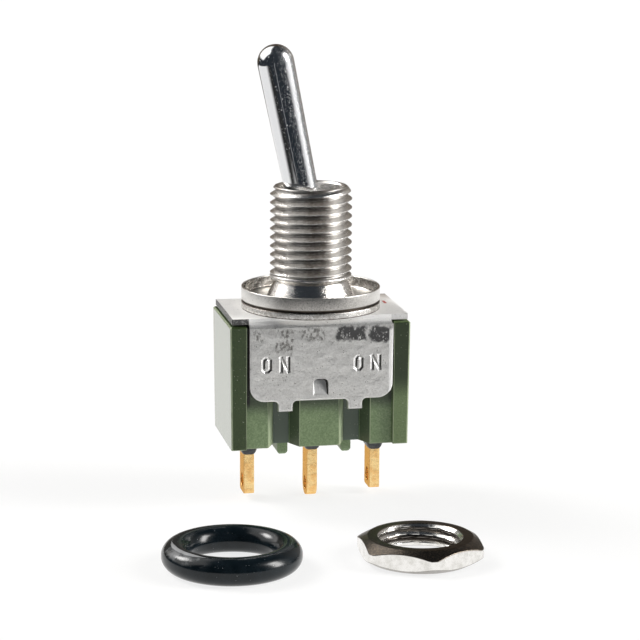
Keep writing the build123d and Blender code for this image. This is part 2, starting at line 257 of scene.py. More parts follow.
camera = bpy.data.objects.new("Camera", bpy.data.cameras.new("Camera"))
scene.collection.objects.link(camera)
camera.data.sensor_width = 36.0
camera.data.lens = 139.4
camera.data.clip_start = 0.01
turn = Matrix((right, up, back)).transposed().to_4x4()
camera.matrix_world = Matrix.Translation(Vector((-34.277, -173.675, 36.193)) * MM) @ turn
scene.camera = camera
print("camera", [round(v, 4) for v in camera.location])

# %% [markdown]
# ## Studio
# Polished metal shows what stands around it. The lever's bright and dark bands come from a
# large soft box at the upper left with a lamp in it, a narrower pair at the right, a white
# card under the objects and a dark room. Area lights would do as well, but boxes drawn by
# direction in the world are free of noise. The camera itself sees only a pale background.

# %% A box of light, by direction
world = bpy.data.worlds.new("Studio")
scene.world = world
world.use_nodes = True
studio = Tree(world.node_tree)
direction = studio.add("TexCoord", out="Generated")


def towards(azimuth, elevation):
    """A direction, with its azimuth counted to the right from the camera's."""
    a, e = radians(azimuth) + AZIMUTH, radians(elevation)
    return Vector((sin(a) * cos(e), -cos(a) * cos(e), sin(e)))


def along(axis):
    return studio.add("VectorMath", {"operation": "DOT_PRODUCT"}, {0: direction, 1: axis}, out=1)


def soft_box(azimuth, elevation, wide, high, blur):
    """1 inside a rectangular light seen in that direction, wide and high in degrees."""
    ahead = towards(azimuth, elevation)
    side = ahead.cross(Vector((0, 0, 1))).normalized()
    depth = along(ahead)
    inside = depth.above(0.0, 0.05)
    for axis, spread in ((side, wide), (side.cross(ahead), high)):
        reach = tan(radians(spread / 2))
        offset = (along(axis) / depth.most(0.01)).size()
        inside = inside * offset.below(reach - blur, reach + blur)
    return inside


print("boxes of light can be placed")

# %% The lights and the dim room
LIGHTS = {
    "left box": (1.5, (-112, 41, 64, 56, 0.12)),
    "left lamp": (18.0, (-114, 40, 18, 18, 0.1)),
    "right box": (1.1, (84, 12, 34, 84, 0.28)),
    "right lamp": (16.0, (84, 27, 16, 34, 0.1)),
    "right spill": (0.26, (122, 8, 70, 70, 0.5)),
    "slit below the camera": (0.6, (-7, -18, 1.6, 40, 0.005)),
    "backdrop": (0.06, (180, 9, 80, 18, 0.16)),
}
brightness = sum(soft_box(*box) * strength for strength, box in LIGHTS.values())
lights = studio.scaled((1.0, 0.985, 0.965), brightness)
warm_behind = soft_box(180, 20, 110, 60, 0.3)
room = studio.mix(warm_behind, (0.028, 0.033, 0.04), (0.09, 0.07, 0.05))
seen = studio.add("VectorMath", {"operation": "ADD"}, {0: lights, 1: room})
is_camera = studio.add("LightPath", out="Is Camera Ray")
surround = studio.mix(is_camera, seen, (0.96, 0.96, 0.96))
studio.feed(world.node_tree.nodes["Background"].inputs["Color"], surround)
scene.view_settings.view_transform = "Standard"
print("in a dim room:", ", ".join(LIGHTS))

# %% [markdown]
# ## Floor
# The switch stands on something white that shows hardly any shadow. A plain white plane
# would need strong lights, which the metal would mirror, so the floor gives off most of its
# brightness itself and takes only the rest from the lights, with a faint shadow.

# %% The pale floor
def linked(name, data):
    """A new object in the scene."""
    made = bpy.data.objects.new(name, data)
    scene.collection.objects.link(made)
    return made


def flat_sheet(name, low, high, z):
    """A level rectangle under the switch, linked into the scene on its own."""
    mesh = bpy.data.meshes.new(name)
    corners = [(low[0], low[1]), (high[0], low[1]), (high[0], high[1]), (low[0], high[1])]
    mesh.from_pydata([(x * MM, y * MM, z * MM) for x, y in corners], [], [(0, 1, 2, 3)])
    sheet = linked(name, mesh)
    return sheet


def bare_material(name):
    """A material with nothing but its output, its tree, and the output's socket."""
    material = bpy.data.materials.new(name)
    material.use_nodes = True
    nodes = material.node_tree.nodes
    nodes.remove(nodes["Principled BSDF"])
    return material, Tree(material.node_tree), nodes["Material Output"].inputs["Surface"]


def floor_finish(colour=(1.0, 1.0, 0.998), glow=0.8, albedo=0.2):
    material, tree, surface = bare_material("Pale floor")
    shadowed = tree.add("BsdfDiffuse", values={"Color": (*[c * albedo for c in colour], 1)})
    own = tree.add("Emission", values={"Color": (*colour, 1), "Strength": glow})
    tree.feed(surface, tree.add("AddShader", values={0: shadowed, 1: own}))
    return material


floor = flat_sheet("Floor", (-2500, -2500), (2500, 2500), REST_Z - 0.01)
floor.data.materials.append(floor_finish())
floor.visible_glossy = False
print("floor at", REST_Z, "mm")

# %% [markdown]
# ## Card
# The lower bright bands on the lever, the cup and the nut are mirror images of the ground.
# They end where it gets dark in front and at the left. The floor is the same all over, so
# it is hidden from reflections, and this card, hidden from all else, takes its place.

# %% The card that only reflections see
def card_finish():
    material, tree, surface = bare_material("White card")
    x, y, _ = tree.split(tree.scaled(tree.add("TexCoord", out="Object"), 1 / MM))
    near = x.above(-50, -30) * y.above(-72, -54)
    behind_left = ((y * 0.97 - x * 0.235) / length(x, y).most(1.0)).above(-0.34, 0.08)
    strength = near.most(behind_left) * 0.98 + 0.03
    glow = tree.add("Emission", values={"Color": (1.0, 0.99, 0.975, 1), "Strength": strength})
    tree.feed(surface, glow)
    return material


card = flat_sheet("Card", (-110, -75), (120, 130), REST_Z - 0.005)
card.data.materials.append(card_finish())
for rays in ("camera", "diffuse", "shadow", "transmission"):
    setattr(card, f"visible_{rays}", False)
print("the card reaches", [round(v / MM) for v in card.dimensions[:2]], "mm")

# %% [markdown]
# ## Turned pieces
# Bushing, cup and lever are turned from bar, so each is an outline swung round an axis. A
# Screw modifier would do it too, but rings of vertices are easy to join to other rings.
# Corners of an outline have a small softening, because a real turned edge catches a thin
# line of light and a perfectly sharp one doesn't.

# %% Outlines, as points of radius and height
def softened(corners, steps=4):
    """Points of a closed outline from (radius, height, softening) corners."""
    points = []
    for k, (radius, height, soft) in enumerate(corners):
        here = Vector((radius, height))
        if not soft:
            points.append(here)
            continue
        ends = [Vector(corners[(k + step) % len(corners)][:2]) for step in (-1, 1)]
        start, end = (here + (other - here).normalized() * soft for other in ends)
        for step in range(steps + 1):
            t = step / steps
            points.append(start * (1 - t) ** 2 + here * 2 * t * (1 - t) + end * t**2)
    return points


def arc(centre_z, radius, first, last, steps):
    """Points on a circle about the axis, from one angle above the level to another."""
    angles = [radians(first + (last - first) * k / steps) for k in range(steps + 1)]
    return [Vector((radius * cos(a), centre_z + radius * sin(a))) for a in angles]


def stations(low, high, count):
    """Even points from one (radius, height) to another, without the last."""
    low, high = Vector(low), Vector(high)
    return [low + (high - low) * k / count for k in range(count)]


print("outlines can be drawn")

# %% The lathe
def swung(radius, height, angle):
    """A point of an outline after a turn about Z, in metres."""
    return (radius * cos(angle) * MM, radius * sin(angle) * MM, height * MM)


def join_rings(bm, rings):
    """Faces between each ring of vertices and the next."""
    for ring, following in zip(rings, rings[1:]):
        for k in range(len(ring)):
            after = (k + 1) % len(ring)
            bm.faces.new((ring[k], ring[after], following[after], following[k]))


def turned(points, segments, closed=True):
    """A mesh swung round Z. An outline that isn't closed starts and ends on the axis."""
    bm = bmesh.new()
    spokes = [2 * pi * k / segments for k in range(segments)]
    rings = [[bm.verts.new(swung(p.x, p.y, a)) for a in spokes] for p in points]
    join_rings(bm, rings + rings[:1] if closed else rings)
    bmesh.ops.remove_doubles(bm, verts=bm.verts, dist=1e-8)
    return bm


print("the lathe is ready")

# %% [markdown]
# ## From a mesh to a piece
# A finished mesh becomes an object with one material, rides on a body of the frame and takes the
# place of CAD nodes. These calls could be written out for each piece, but when every piece goes
# through `settle`, none can be forgotten.

# %% Objects from meshes
def as_mesh(bm, name):
    mesh = bpy.data.meshes.new(name)
    bm.to_mesh(mesh)
    bm.free()
    return mesh


def opened(mesh):
    """A copy of a mesh that can be edited."""
    bm = bmesh.new()
    bm.from_mesh(mesh)
    return bm


def piece(name, bm, finish, body, replaced, sharp=35, place=None):
    """Makes an object of a mesh, in its place, and ties it to the frame."""
    if place is not None:
        bm.transform(place)
    bmesh.ops.recalc_face_normals(bm, faces=bm.faces)
    settle(name, as_mesh(bm, name), finish, body, replaced, sharp)


def settle(name, mesh, finish, body, replaced, sharp=35):
    made = linked(name, mesh)
    mesh.name = name
    mesh.materials.clear()
    mesh.materials.append(finish)
    if sharp:
        mesh.shade_smooth()
        mesh.set_sharp_from_angle(angle=radians(sharp))
    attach(made, body)
    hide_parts(*replaced)
    triangles = sum(len(face.vertices) - 2 for face in mesh.polygons)
    print(name, triangles, "triangles")


def evaluated(made):
    """The mesh that an object's modifiers make, and the object removed."""
    graph = bpy.context.evaluated_depsgraph_get()
    mesh = bpy.data.meshes.new_from_object(made.evaluated_get(graph), depsgraph=graph)
    old = made.data
    bpy.data.objects.remove(made)
    bpy.data.meshes.remove(old)
    return mesh


print("meshes can be made into pieces")

# %% [markdown]
# ## Node groups with named sizes
# Two shapes here follow one rule each, a thread and a coil, and Geometry Nodes state such
# a rule once. A group has an input for every size, ends in Realize Instances and Set
# Material, and is told the sizes on the modifier, by the identifiers of its sockets.

# %% Helpers for geometry node groups
def label(key):
    """The name of a group's input: run_out becomes Run out."""
    return key.replace("_", " ").capitalize()


def node_group(name, *sizes):
    """A new group's tree, and the values that come into it, by name."""
    nodes = bpy.data.node_groups.new(name, "GeometryNodeTree")
    nodes.is_modifier = True
    for way in ("INPUT", "OUTPUT"):
        nodes.interface.new_socket("Geometry", in_out=way, socket_type="NodeSocketGeometry")
    for key in sizes:
        nodes.interface.new_socket(label(key), in_out="INPUT", socket_type="NodeSocketFloat")
    tree = Tree(nodes, "Geometry")
    group = nodes.nodes.new("NodeGroupInput")
    return tree, {socket.name: Value(tree, socket) for socket in group.outputs if socket.name}


def end_group(tree, geometry, finish):
    """Makes the geometry real, gives it its finish and sends it out of the group."""
    whole = tree.add("RealizeInstances", values={"Geometry": geometry})
    clad = tree.add("SetMaterial", values={"Geometry": whole, "Material": finish})
    tree.feed(tree.nodes.nodes.new("NodeGroupOutput").inputs["Geometry"], clad)
    return tree.nodes


def with_group(mesh, nodes, **sizes):
    """The mesh after a node group, with its sizes set by their identifiers."""
    carrier = linked("carrier", mesh)
    modifier = carrier.modifiers.new("group", "NODES")
    modifier.node_group = nodes
    inputs = [item for item in nodes.interface.items_tree if item.in_out == "INPUT"]
    identifiers = {item.name: item.identifier for item in inputs}
    for key, value in sizes.items():
        modifier[identifiers[label(key)]] = value
    return evaluated(carrier)


print("node groups can be made and used")

# %% [markdown]
# ## Cut thread
# One group cuts both threads, the bushing's outer one and the nut's inner one. It works out
# for each point how far round the helix it is, and pulls the wall in or out to a 60 degree
# V with a rounded root. At the bushing's chamfer the V meets the cone, as a cut thread does.
# A bump map would give the same stripes, but not the notched outline against the paper.

# %% Geometry Nodes: cut a thread in a turned wall
def thread_group(name, finish):
    tree, given = node_group(
        name, "wall_radius", "depth", "pitch", "start", "end", "run_out", "crest_height"
    )
    x, y, height = tree.split(tree.add("InputPosition"))
    z = height - given["Crest height"]
    radius = length(x, y)
    rise = z / given["Pitch"] - y.maths("ARCTAN2", x) / (2 * pi)
    from_crest = ((rise + 0.5).maths("FRACT") - 0.5).size() * 2
    crest_flat, flank_share, root_softness = 0.05, 0.86, 0.14
    flank = (from_crest - crest_flat) / flank_share
    groove = flank.most(0.0).maths("SMOOTH_MIN", 1.0, root_softness)
    fade = given["Run out"]
    fading = (z - given["Start"]).above(0.0, fade) * (z - given["End"]).below(0.0, fade)
    wall = given["Wall radius"] - given["Depth"] * groove * fading
    side = given["Depth"].maths("SIGN")
    cut = (radius * side).least(wall * side) * side
    off_wall = (radius - given["Wall radius"]).size()
    far = off_wall.maths("GREATER_THAN", given["Depth"].size() + 0.05 * MM)
    close = z.maths("GREATER_THAN", given["Start"]) * (1 - far)
    scale = cut / radius
    moved = tree.add("CombineXYZ", values={"X": x * scale, "Y": y * scale, "Z": height})
    shaped = tree.add("SetPosition", values={
        "Geometry": given["Geometry"], "Selection": close, "Position": moved,
    })
    return end_group(tree, shaped, finish)


print("a thread can be cut")

# %% [markdown]
# ## Nickel on the bushing
# The bushing is brass under dull nickel. The crests carry a painted highlight, partly wear, and the
# flanks under them hold brown dirt and painted shade, so colour and roughness follow the helix,
# worked out from the height and the angle. On two strips down the front a painted highlight lightens
# the roots, and painted shade, with some dirt, darkens the flange under the cup and along its foot.
# A map painted on an unwrapped wall would need a seam just where the thread crosses it.

# %% Finish: nickel on the bushing
def nickel_finish():
    f = Finish("Nickel on the bushing", (0.7, 0.67, 0.63), Metallic=1.0, Roughness=0.24)
    radius = length(f.x, f.y)
    wall = f.z.above(WALL_LOW, WALL_LOW + 0.3) * radius.above(2.45, 2.5)
    turns_down = (FIRST_CREST_Z - f.z) / THREAD_PITCH + f.y.maths("ARCTAN2", f.x) / (2 * pi)
    below_crest = turns_down.maths("FRACT")
    # Brown dirt and painted shade on the flanks under each crest.
    under = below_crest.band(0.0, 0.16, 0.4, 0.82) * wall
    # Painted highlight along the crests, partly wear.
    crest_wear_and_highlight = (1 - below_crest.band(0.02, 0.05, 0.9, 0.96)) * wall
    mottle = f.noise(5, detail=4, rough=0.65)
    # Two strips down the front get a painted highlight, which also lightens the roots there.
    painted_highlight_strips = f.x.size().band(0.5, 1.4, 1.9, 2.7) * f.y.below(-0.5, 0.5)
    dirt_and_flank_shade = under * (mottle.above(0.3, 0.6) * 0.25 + 0.6) * (1 - painted_highlight_strips * 0.5)
    # Painted shade on the flange under the cup's foot.
    shade_under_cup = f.z.band(0.4, 0.48, 0.52, 0.6) * radius.above(4.7, 4.8)
    clean = f.mix(mottle.above(0.35, 0.7), (0.97, 0.955, 0.93), (0.74, 0.71, 0.67))
    clean = f.mix(painted_highlight_strips * 0.6, clean, (0.92, 0.91, 0.89))
    rubbed_and_lit = f.mix(crest_wear_and_highlight, clean, (1.0, 0.99, 0.97))
    flange = radius.above(4.9, 4.95) * f.z.below(0.5, 0.56)
    # Mottled dirt on the flange, and painted shade along its foot against the plate.
    flange_dirt_and_shade = flange * (mottle.above(0.35, 0.6) * 0.3 + f.z.below(0.04, 0.1) * 0.7)
    dirt_and_shade = (dirt_and_flank_shade + shade_under_cup * 0.8 + flange_dirt_and_shade).least(0.95)
    colour = f.mix(dirt_and_shade, rubbed_and_lit, (0.075, 0.055, 0.04))
    past_neck = f.z.above(1.9, 2.4)
    rough = mottle * 0.16 + dirt_and_shade * 0.2 + past_neck * 0.1 + flange * 0.12 + 0.06
    turning = f.noise(6, detail=3, place=f.stretched(0.4, 0.4, 12))
    return f.use(Base_Color=colour, Roughness=rough, Normal=f.bump(turning, 0.01))


NICKEL = nickel_finish()

# %% [markdown]
# ## The bushing
# On a real lathe the blank is turned first and threaded afterwards, and so it is here. Level
# rings would cut across the thread and leave ragged crests, so the threaded wall is built
# of rows that climb by one pitch in each turn. Every crest and root then has an edge of its
# own, and the group only has to move the rows in or out.

# %% The bushing's outline
def bushing_outline():
    """The bushing's section, from the top of its thread inwards and round to its foot."""
    seat_r, throat_r = 1.95, 1.6
    throat_rise = sqrt(seat_r**2 - throat_r**2)
    below = softened([
        (seat_r, 4.22, 0.0), (2.223, 4.22, 0.0), (2.223, 3.18, 0.04), (2.68, -0.6, 0.03),
        (3.3, -0.6, 0.05), (3.3, -0.4, 0.04), (3.1, -0.4, 0.0), (3.1, 0.0, 0.0),
        (5.05, 0.0, 0.04), (5.05, 0.5, 0.12), (3.25, 0.5, 0.0), (3.25, 0.75, 0.03),
        (2.7, 1.95, 0.08),
    ])
    neck = stations((2.7, 2.02), (THREAD_R, WALL_LOW), 6) + [Vector((THREAD_R, WALL_LOW))]
    mouth = softened([
        (MOUTH_R, WALL_HIGH, 0.0), (2.42, WALL_HIGH, 0.03), (2.3, 8.78, 0.03), (2.3, 7.2, 0.05),
    ])
    ball_seat = arc(PIVOT_Z, seat_r, degrees(atan2(throat_rise, throat_r)), 0, 10)
    return mouth + ball_seat + below + neck


print("the bushing's outline has", len(bushing_outline()), "points")

# %% The bushing: turned, then threaded
def helical_wall(bm, segments, turns=13):
    """The wall that takes the thread, its rows of faces climbing with the helix."""
    half = [0.025, 0.08, 0.14, 0.2, 0.26, 0.32, 0.38, 0.42, 0.46]
    phases = [-0.5, *(-p for p in reversed(half)), 0.0, *half]
    per_turn = len(phases)
    lowest = FIRST_CREST_Z + (2 - turns) * THREAD_PITCH
    rows = [lowest + (turn + p) * THREAD_PITCH for turn in range(turns) for p in phases]
    taper = (THREAD_R - MOUTH_R) / (WALL_HIGH - CHAMFER_Z)
    known = {}

    def corner(row, k):
        z = min(max(rows[row] + THREAD_PITCH * k / segments, WALL_LOW), WALL_HIGH)
        key = (k, round(z, 6))
        if key not in known:
            radius = THREAD_R - max(0.0, z - CHAMFER_Z) * taper
            known[key] = bm.verts.new(swung(radius, z, 2 * pi * k / segments))
        return known[key]

    for row in range(len(rows) - per_turn - 1):
        for k in range(segments):
            after, lift = (k + 1, 0) if k + 1 < segments else (0, per_turn)
            lower = (corner(row, k), corner(row + lift, after))
            upper = (corner(row + 1 + lift, after), corner(row + 1, k))
            distinct = list(dict.fromkeys(lower + upper))
            if len(distinct) > 2:
                bm.faces.new(distinct)


def make_bushing(segments=160):
    lathe = turned(bushing_outline(), segments, closed=False)
    helical_wall(lathe, segments)
    bmesh.ops.remove_doubles(lathe, verts=lathe.verts, dist=1e-7)
    print("open edges of the bushing:", sum(not edge.is_manifold for edge in lathe.edges))
    bmesh.ops.recalc_face_normals(lathe, faces=lathe.faces)
    return with_group(
        as_mesh(lathe, "bare bushing"), thread_group("Cut the bushing's thread", NICKEL),
        wall_radius=THREAD_R * MM, depth=THREAD_DEPTH * MM, pitch=THREAD_PITCH * MM,
        start=-6.25 * MM, end=0.7 * MM, run_out=0.3 * MM, crest_height=FIRST_CREST_Z * MM,
    )


settle("threaded_bushing", make_bushing(), NICKEL, "housing", ["bushing"])

# %% [markdown]
# ## The sealing cup
# A thin turned dish lies on the flange and will hold the rubber ring. Its wall is satin and
# finely speckled, painted lighter towards its left and right ends as a painted reflection, with a
# painted highlight along its rim and a painted shadow line under it where its foot steps in. Its
# inside is darkened by stains and painted shade. It is turned like the bushing, and these marks are
# masks of radius and height, which follow its shape.

# %% Finish and mesh: the sealing cup
def cup_finish():
    f = Finish("Satin nickel on the cup", (0.6, 0.58, 0.55), Metallic=1.0, Roughness=0.32)
    radius = length(f.x, f.y)
    grain = f.noise(12, detail=4, rough=0.7)
    stain = f.noise(2.2, detail=4, rough=0.6)
    # Painted shadow in the step under the cup's foot.
    gap_shade = f.z.below(0.66, 0.72) * radius.above(4.6, 4.8)
    # The inside of the cup is darkened by stains and painted shade.
    inside = radius.below(4.86, 4.9) * f.z.above(0.76, 0.8)
    inner = inside * stain.above(0.35, 0.6)
    # Painted reflection: the wall is lighter towards its left and right ends.
    ends = f.x.size().above(2.2, 4.6) * (1 - inside)
    satin = f.mix(grain.above(0.35, 0.7), (0.4, 0.39, 0.37), (0.66, 0.64, 0.61))
    satin = f.mix(ends * 0.7, satin, (0.97, 0.96, 0.93))
    spotted = f.mix(f.speckles(4, 0.16) * 0.6, satin, (0.1, 0.08, 0.06))
    # Painted highlight along the top of the rim.
    rim_highlight = f.mix(f.z.above(1.5, 1.55), spotted, (0.9, 0.89, 0.86))
    colour = f.mix((gap_shade * 0.9 + inner * 0.75).least(0.95), rim_highlight, (0.06, 0.045, 0.03))
    rough = grain * 0.2 + 0.2 - inside * 0.14
    return f.use(Base_Color=colour, Roughness=rough, Normal=f.bump(grain, 0.014))


CUP_NICKEL = cup_finish()
cup = softened([
    (3.27, 0.5, 0.0), (4.85, 0.5, 0.0), (4.85, 0.64, 0.0), (5.05, 0.64, 0.04),
    (5.05, 1.57, 0.05), (4.87, 1.57, 0.05), (4.87, 0.75, 0.16), (3.27, 0.75, 0.0),
])
piece("sealing_cup", turned(cup, 192), CUP_NICKEL, "housing", ["seal_cup"])

# %% [markdown]
# ## The lever
# A round-ended bat, ball and tail in one turning. It is polished until it mirrors the room,
# with a few pits that the light catches. Nearly all of its look is reflection, so the
# finish stays simple and the studio does the work.

# %% Finish and mesh: the lever
def chrome_finish():
    f = Finish("Polished plate on the lever", (0.74, 0.75, 0.77), Metallic=1.0, Roughness=0.06)
    across = f.x * cos(radians(LEAN)) + (f.z - PIVOT_Z) * sin(radians(LEAN))
    worn = across.above(-0.35, 0.45) * 0.55 + 0.32
    pits = f.noise(20, detail=2).above(0.72 - worn * 0.12, 0.76 - worn * 0.12)
    dust = f.speckles(2.1, 0.11)
    marks = (pits * 0.7 + dust).least(1.0)
    haze = f.noise(2.2, detail=3)
    colour = f.mix(marks, (0.76, 0.77, 0.79), (0.9, 0.9, 0.9))
    rough = haze * 0.06 + marks * 0.42 + 0.04
    return f.use(Base_Color=colour, Roughness=rough, Normal=f.bump(marks, 0.004))


def lever_outline(tip_r=1.32, tip_z=12.98, ball_r=1.9, tail_r=1.3, hollow_r=0.95):
    """From the tip down the shaft, round the ball and into the hollow tail."""
    neck_r, neck_z, tail_z = 1.19, 1.481, -6.3
    tip = arc(tip_z, tip_r, 90, 0, 28)
    shaft = stations((tip_r, tip_z - 0.01), (neck_r, neck_z), 12)
    ball = arc(0, ball_r, degrees(asin(neck_z / ball_r)), -46.8, 24)
    tail = softened([
        (tail_r, -1.39, 0.0), (tail_r, tail_z, 0.06), (hollow_r, tail_z, 0.04),
        (hollow_r, -1.9, 0.0), (0, -1.9, 0.0),
    ])
    return tip + shaft + ball + tail


CHROME = chrome_finish()
lever_bat = turned(lever_outline(), 128, closed=False)
piece("lever_bat", lever_bat, CHROME, "toggle", ["lever"], place=with_lever)

# %% [markdown]
# ## Pieces that keep the CAD shape
# Sheet metal and mouldings have the right shape already, and modelling them again could
# only add mistakes. A copy of the CAD mesh is merged, its flat faces are joined, and its
# edges are rounded a little so that they catch light.

# %% Copying and rounding a CAD node
def cleaned(bm):
    """Merges the corners that faces share, and joins the faces that lie in one plane."""
    bmesh.ops.remove_doubles(bm, verts=bm.verts, dist=2e-6)
    bmesh.ops.dissolve_limit(bm, angle_limit=radians(0.8), verts=bm.verts, edges=bm.edges)


def mark_sharp(bm, angle):
    for edge in bm.edges:
        edge.smooth = edge.calc_face_angle(pi) < radians(angle)


def copied(node):
    """A merged copy of a CAD node's mesh, its flat faces joined and its corners marked sharp."""
    bm = opened(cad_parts[node].data)
    cleaned(bm)
    for face in bm.faces:
        face.smooth = True
    mark_sharp(bm, 30)
    return bm


def smoothed(bm, width=0.0, angle=35, segments=2, chosen=None):
    """The mesh, its edges rounded by a width in millimetres, lit as flat between them."""
    if chosen:
        weight = bm.edges.layers.float.new("bevel_weight_edge")
        for edge in bm.edges:
            bent = edge.calc_face_angle(0) > radians(angle)
            edge[weight] = float(bent and all(chosen(v.co / MM) for v in edge.verts))
    carrier = linked("carrier", as_mesh(bm, "smoothed"))
    if width:
        bevel = carrier.modifiers.new("bevel", "BEVEL")
        bevel.width, bevel.segments = width * MM, segments
        bevel.limit_method, bevel.angle_limit = "WEIGHT" if chosen else "ANGLE", radians(angle)
        bevel.use_clamp_overlap = not chosen
    carrier.modifiers.new("normals", "WEIGHTED_NORMAL").keep_sharp = True
    return evaluated(carrier)


print("CAD copies can be rounded")

# %% Cutting a mesh
def cut_by(mesh, cutters):
    """The mesh with closed cutters taken out of it."""
    carrier = linked("carrier", mesh)
    tool_mesh = as_mesh(cutters, "cutters")
    tool = linked("cutters", tool_mesh)
    boolean = carrier.modifiers.new("cut", "BOOLEAN")
    boolean.object, boolean.operation, boolean.solver = tool, "DIFFERENCE", "EXACT"
    boolean.use_self = True
    result = opened(evaluated(carrier))
    bpy.data.objects.remove(tool)
    bpy.data.meshes.remove(tool_mesh)
    mark_sharp(result, 27)
    return smoothed(result)


def close_cutter(bm, rings):
    """Walls between rings of vertices and a lid at both ends, all turned outwards."""
    for near, far in zip(rings, rings[1:]):
        for k in range(len(near)):
            after = (k + 1) % len(near)
            bm.faces.new((near[k], far[k], far[after], near[after]))
    bm.faces.new(rings[0])
    bm.faces.new(reversed(rings[-1]))


print("meshes can be cut")

# %% [markdown]
# ## Sheet steel
# The plated sheet is grey on its flap, and its top is painted whiter, a painted highlight where it
# faces the light. Painted shade darkens the clinch mark towards its upper right, a painted highlight
# runs down the flap's right rim, and the walls of the grooves take painted light and painted shade.
# The dark brushed patch, the grime, the brown stain and a red dab are put where they are seen, by
# masks in millimetres whose borders are made ragged with noise. Painting an image would be quicker
# for one view, but masks stay sharp however near one looks.

# %% Finish: sheet steel
def steel_finish():
    f = Finish("Dull plated steel sheet", (0.5, 0.5, 0.5), Metallic=1.0, Roughness=0.4)
    on_flap = f.y.below(-3.9, -3.7)
    top = f.z.above(-0.75, -0.15)
    grain = f.noise(9, detail=4, rough=0.75)
    cloud = f.noise(1.2, detail=4, rough=0.6)
    specks = f.speckles(4.2, 0.2) * f.noise(2.2, detail=2).above(0.46, 0.6)
    specks = (specks + f.noise(16, detail=3).above(0.64, 0.7) * 0.7).least(1.0)
    x = f.x + (f.noise(1.7, detail=4, rough=0.65) - 0.5) * 0.9
    z = f.z + (f.noise(2.6, detail=3) - 0.5) * 0.7

    def patch(x0, x1, z0, z1, soft=0.14):
        """1 in a rectangle with ragged borders."""
        wide = x.band(x0 - soft, x0 + soft, x1 - soft, x1 + soft)
        return wide * z.band(z0 - soft, z0 + soft, z1 - soft, z1 + soft)

    brushed = f.noise(3.6, detail=5, rough=0.7, place=f.stretched(1.3, 1, 0.8))
    ink = patch(1.2, 3.3, -1.75, -0.72) + patch(3.6, 5.1, -1.95, -0.82)
    ink = ink * brushed.above(0.36, 0.46) * on_flap
    grime = patch(-4.8, -4.2, -1.6, -0.7) + patch(-3.3, -2.0, -2.5, -0.9)
    grime = (grime + patch(-1.4, 0.3, -1.7, -0.8)) * brushed.above(0.44, 0.6) * on_flap
    satin = f.mix(grain.above(0.34, 0.66), (0.64, 0.635, 0.62), (0.82, 0.82, 0.805))
    clouded = f.mix(cloud.above(0.35, 0.7) * 0.3, satin, (0.84, 0.84, 0.83))
    specked = f.mix(specks * 0.75, clouded, (0.09, 0.075, 0.06))
    # Painted shade in the clinch mark, darkest towards its upper right.
    clinch_shade = f.y.band(-3.9, -3.68, -3.6, -3.56) * f.x.size().below(0.56, 0.6)
    clinch_shade = clinch_shade * (f.x * 1.1 + f.z + 4.95).above(-0.12, 0.22) * (1 - top)
    with_clinch_shade = f.mix(clinch_shade * 0.9, specked, (0.03, 0.03, 0.03))
    # Painted shade and painted light on the walls of the grooves, read from the wall attribute.
    shade, lit, _ = f.split(f.add("Attribute", {"attribute_name": "wall"}, out="Vector"))
    shaded = f.mix(shade.least(0.93), with_clinch_shade, (0.035, 0.034, 0.032))
    # Painted highlight along the flap's right rim.
    rim_highlight = on_flap * f.x.above(4.96, 5.06) * f.z.band(-6.3, -6.0, -1.2, -0.8)
    lit = lit.most(rim_highlight * 0.9).least(1.0)
    groove_lit_and_shaded = f.mix(lit, shaded, (1.0, 1.0, 0.99))
    inked = f.mix(ink * 0.88 * (1 - lit.least(0.8)), groove_lit_and_shaded, (0.03, 0.03, 0.034))
    dirty = f.mix(grime * 0.72, inked, (0.07, 0.06, 0.05))
    # Painted highlight: the top of the sheet is painted whiter where it faces the light.
    painted_lit_top = f.mix(top * (1 - specks * 0.8), dirty, (0.97, 0.965, 0.95))
    rear = top * f.y.above(0.6, 3.4) * f.x.above(1.5, 5.0)
    stained = f.mix(rear * (grain * 0.5 + 0.4), painted_lit_top, (0.2, 0.15, 0.11))
    back_edge = top * f.y.above(3.45, 3.62) * f.x.above(0.0, 2.0)
    stained = f.mix(back_edge * 0.85, stained, (0.05, 0.03, 0.02))
    front_end = f.y.below(-3.72, -3.69) * f.x.size().above(5.18, 5.22)
    ends = f.x.below(-6.38, -6.34) + front_end * (1 - f.x.above(0, 6) * 0.75)
    sheared = ends * f.z.above(-0.42, -0.38) * (grain.above(0.36, 0.5) * 0.35 + 0.6)
    aged_and_shaded = f.mix(sheared.least(1.0), stained, (0.03, 0.03, 0.03))
    dab = f.x.band(5.52, 5.6, 5.74, 5.8) * f.y.band(0.1, 0.3, 1.0, 1.3)
    marked = f.mix(dab * top * f.z.above(-0.1, -0.02) * 0.9, aged_and_shaded, (0.55, 0.03, 0.02))
    rough = grain * 0.2 + ink * 0.2 + top * 0.12 + 0.3
    metallic = 1 - (top * 0.95).most(lit * 0.9)
    dents = f.bump(grain, 0.01, under=f.bump(cloud, 0.06))
    return f.use(Base_Color=marked, Metallic=metallic, Roughness=rough, Normal=dents)


STEEL = steel_finish()

# %% [markdown]
# ## Stamped words
# A punch pressed each word into the flap, so every stroke is a shallow groove with sloping
# walls. A bump map would do from straight ahead, but cut grooves stay right from any side.
# Each stroke is a closed cutter, and one Boolean takes all of them out of the sheet.

# %% The strokes of the letters
STROKE_INSET = 0.09


def groove(bm, outer, inner, depth=0.08):
    """A closed cutter from the sheet's face inwards between two loops of (x, z) points."""
    levels = ((outer, -FLAP_Y - 0.05), (outer, -FLAP_Y), (inner, -FLAP_Y + depth))
    rings = [[bm.verts.new((x * MM, y * MM, z * MM)) for x, z in loop] for loop, y in levels]
    close_cutter(bm, rings)


